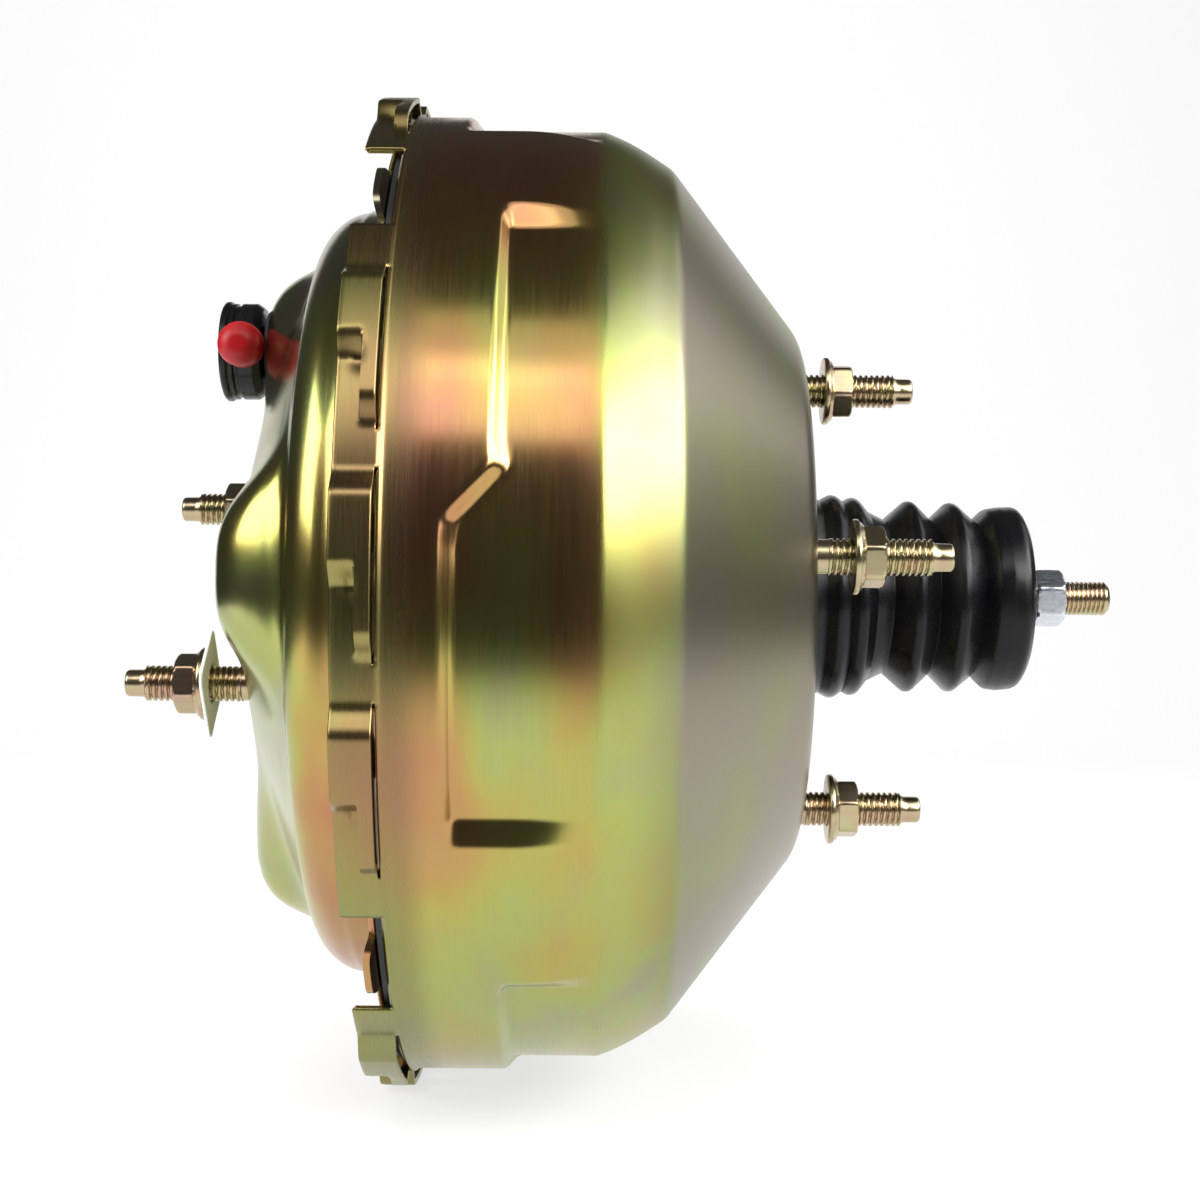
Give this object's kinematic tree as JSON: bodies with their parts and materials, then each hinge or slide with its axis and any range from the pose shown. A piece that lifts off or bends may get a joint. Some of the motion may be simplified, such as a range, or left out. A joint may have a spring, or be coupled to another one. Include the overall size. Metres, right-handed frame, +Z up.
{
  "type": "brake booster",
  "caption": "Round vacuum brake booster with a lobed front cover, twist-lock rim, deep drum, stud mounts, check valve, bellows boot and pedal rod.",
  "frame": {"origin": "centre of the flat rear face that seats on the firewall, on the booster axis", "axes": "+X along the booster axis towards the brake pedal, so -X points at the master cylinder; +Z up as the booster lies in the picture; in the car it is rolled about X until the two master-cylinder studs are level"},
  "size_m": [0.272, 0.2746, 0.2746],
  "materials": {
    "yellow_zinc_shell": "yellow-chromated zinc plate with a satin iridescent sheen",
    "yellow_zinc_fastener": "yellow-chromated zinc plate",
    "clear_zinc_nut": "clear zinc plate",
    "boot_rubber": "satin black rubber",
    "seal_rubber": "matt black rubber",
    "valve_plastic": "glossy black moulded plastic",
    "cap_plastic": "glossy red soft plastic",
    "card_paper": "blank white card",
    "hub_plastic": "dark moulded phenolic",
    "bearing_plastic": "natural nylon",
    "plain_steel": "bright steel",
    "spring_steel": "dark spring wire",
    "filter_foam": "open grey foam"
  },
  "bodies": {
    "housing": {"front_shell": "yellow_zinc_shell", "rear_shell": "yellow_zinc_shell", "firewall_studs": "yellow_zinc_fastener", "firewall_nuts": "yellow_zinc_fastener", "front_studs": "yellow_zinc_fastener", "front_nuts": "yellow_zinc_fastener", "stud_card": "card_paper", "rear_plate": "plain_steel", "front_plate": "plain_steel", "rod_seal": "seal_rubber", "rod_seal_retainer": "plain_steel", "hub_bearing": "bearing_plastic", "hub_seal": "seal_rubber", "hub_seal_retainer": "plain_steel", "boot": "boot_rubber", "diaphragm": "seal_rubber", "return_spring": "spring_steel", "valve_grommet": "seal_rubber"},
    "power_piston": {"piston_hub": "hub_plastic", "diaphragm_plate": "yellow_zinc_shell", "plate_lock_ring": "plain_steel", "reaction_disc": "seal_rubber", "reaction_retainer": "plain_steel", "output_rod": "plain_steel", "output_rod_screw": "plain_steel", "poppet_valve": "seal_rubber", "poppet_retainer": "plain_steel", "poppet_spring": "spring_steel", "air_filter": "filter_foam", "filter_silencer": "filter_foam"},
    "control_valve": {"air_valve": "plain_steel", "air_valve_spring": "spring_steel"},
    "pedal_link": {"pedal_rod": "yellow_zinc_fastener", "rod_jam_nut": "clear_zinc_nut"},
    "check_valve": {"valve_body": "valve_plastic", "valve_cover": "valve_plastic", "valve_spring": "spring_steel"},
    "check_disc": {"valve_disc": "seal_rubber"},
    "hose_cap": {"barb_cap": "cap_plastic"}
  },
  "joints": [
    {"name": "power_piston_slide", "type": "slide", "parent": "housing", "child": "power_piston", "axis": [-1, 0, 0], "range_m": [0, 0.032], "stiffness_N_per_m": 2500, "deforming": ["return_spring", "diaphragm", "boot"]},
    {"name": "air_valve_slide", "type": "slide", "parent": "power_piston", "child": "control_valve", "axis": [-1, 0, 0], "range_m": [0, 0.0025], "stiffness_N_per_m": 3000, "deforming": ["air_valve_spring"]},
    {"name": "pedal_rod_tilt", "type": "hinge", "parent": "control_valve", "child": "pedal_link", "pos_m": [-0.014, 0, 0], "axis": [0, 0.8192, 0.5736], "range_deg": [-2.5, 2.5], "stiffness_Nm_per_rad": 4},
    {"name": "check_valve_swivel", "type": "hinge", "parent": "housing", "child": "check_valve", "pos_m": [-0.155, 0.01233, 0.06992], "axis": [1, 0, 0], "continuous": true},
    {"name": "check_disc_lift", "type": "slide", "parent": "check_valve", "child": "check_disc", "axis": [-1, 0, 0], "range_m": [0, 0.0012], "stiffness_N_per_m": 150, "deforming": ["valve_spring"]},
    {"name": "cap_pull", "type": "slide", "parent": "check_valve", "child": "hose_cap", "axis": [0, -1, 0], "range_m": [0, 0.03]}
  ]
}
